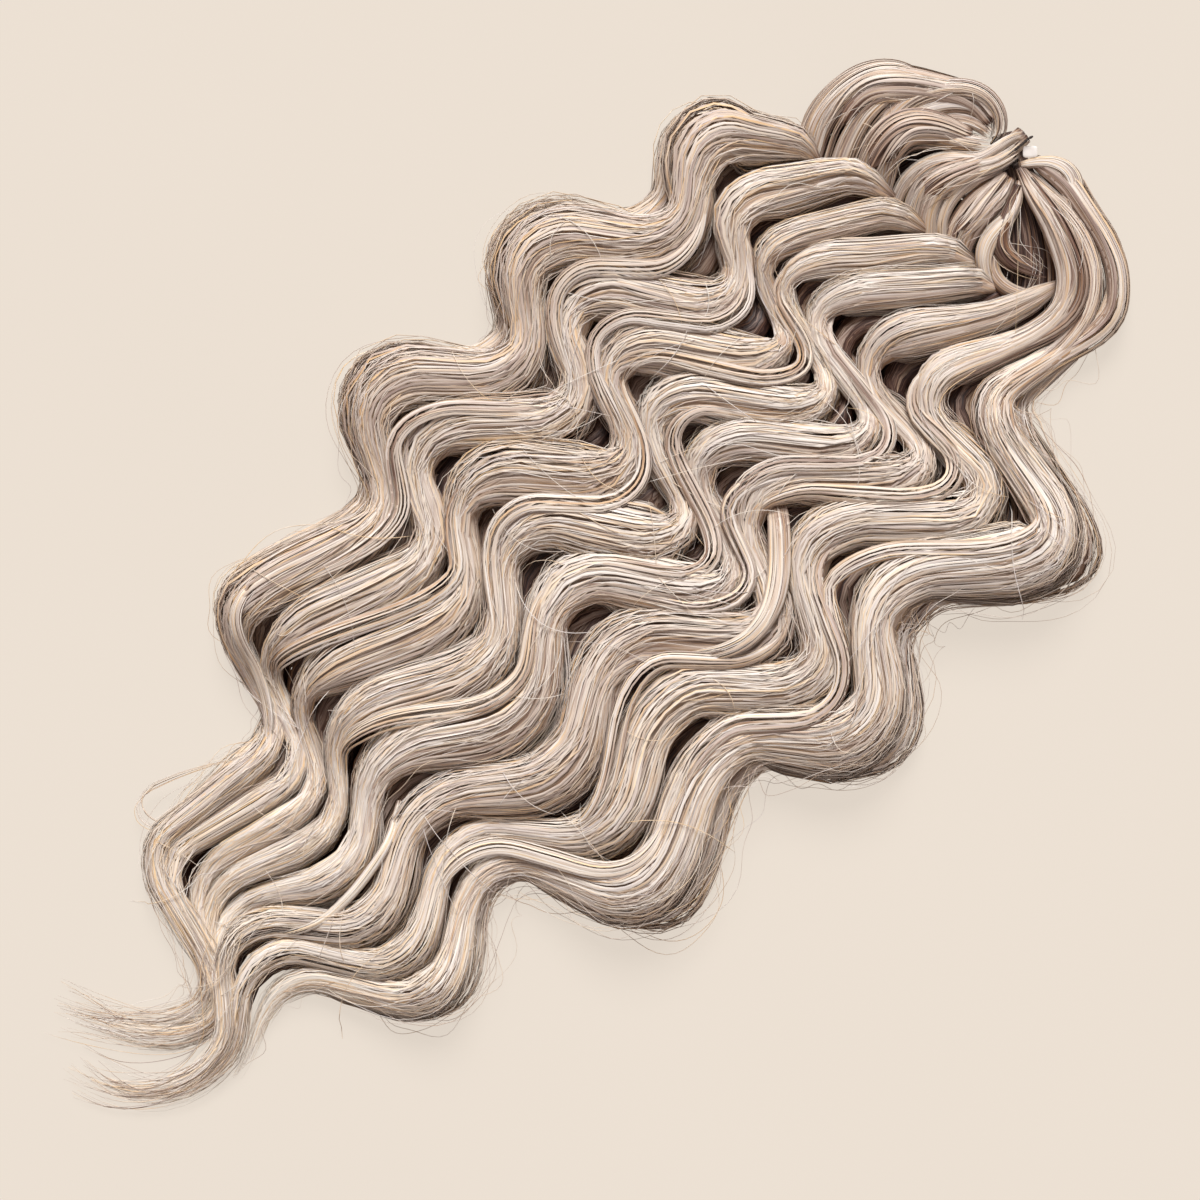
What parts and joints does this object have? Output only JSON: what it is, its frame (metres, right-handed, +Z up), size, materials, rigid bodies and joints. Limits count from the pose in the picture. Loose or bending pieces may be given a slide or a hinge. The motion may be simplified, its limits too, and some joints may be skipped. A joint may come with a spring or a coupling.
{
  "type": "bundle of braiding hair",
  "caption": "Flat-laid bundle of deep-waved synthetic braiding hair: layered crimped locks, a folded head with a loop gathered in a thread tie, and fine curled tips.",
  "frame": {"origin": "middle of the bundle's outline, on the surface that it lies on", "axes": "+X along the bundle to its tied head, +Y to its far side, +Z up"},
  "size_m": [0.4616, 0.2302, 0.0261],
  "materials": {
    "hair": "satin",
    "thread": "matte",
    "tape": "matte"
  },
  "bodies": {
    "root": {"lower_lock_1": "hair", "lower_lock_2": "hair", "lower_lock_3": "hair", "lower_lock_4": "hair", "lower_lock_5": "hair", "lower_lock_6": "hair", "lower_lock_7": "hair", "lower_lock_8": "hair", "lower_lock_9": "hair", "upper_lock_1": "hair", "upper_lock_2": "hair", "upper_lock_3": "hair", "upper_lock_4": "hair", "upper_lock_5": "hair", "upper_lock_6": "hair", "upper_lock_7": "hair", "upper_lock_8": "hair", "roll_outer": "hair", "roll_inner": "hair", "head_strap": "hair", "neck_lock_1": "hair", "neck_lock_2": "hair", "loop_inner": "hair", "loop_outer": "hair", "tie_thread": "thread", "tie_tab": "tape"}
  },
  "joints": []
}
